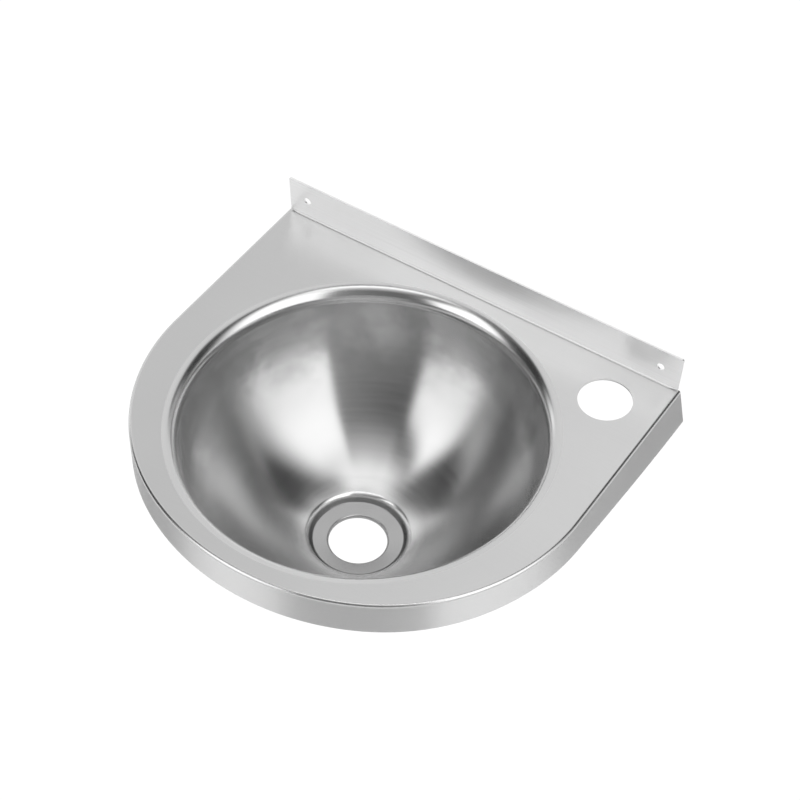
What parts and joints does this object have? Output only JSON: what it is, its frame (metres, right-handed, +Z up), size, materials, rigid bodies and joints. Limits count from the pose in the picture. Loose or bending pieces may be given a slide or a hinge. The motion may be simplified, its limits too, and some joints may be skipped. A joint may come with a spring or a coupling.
{
  "type": "wall-hung hand wash basin",
  "caption": "Small wall-hung stainless hand wash basin: round bowl in a bowed deck with an upstand, an apron, a tap hole at the right and a lipped waste hole.",
  "frame": {"origin": "on the wall face, midway between the two fixing holes in the upstand", "axes": "+X along the wall to the right as seen from the front, +Y into the wall, +Z up"},
  "size_m": [0.3118, 0.27, 0.1484],
  "materials": {
    "deck_steel": "satin brushed stainless steel, grain along the wall",
    "bowl_steel": "satin polished stainless steel, grain round the bowl",
    "dressed_weld": "weld metal dressed and polished flush",
    "tag_steel": "plain mill-finish stainless steel"
  },
  "bodies": {
    "root": {"deck_panel": "deck_steel", "apron": "deck_steel", "apron_weld": "dressed_weld", "bowl": "bowl_steel", "bowl_weld": "dressed_weld", "earth_tag": "tag_steel"}
  },
  "joints": []
}
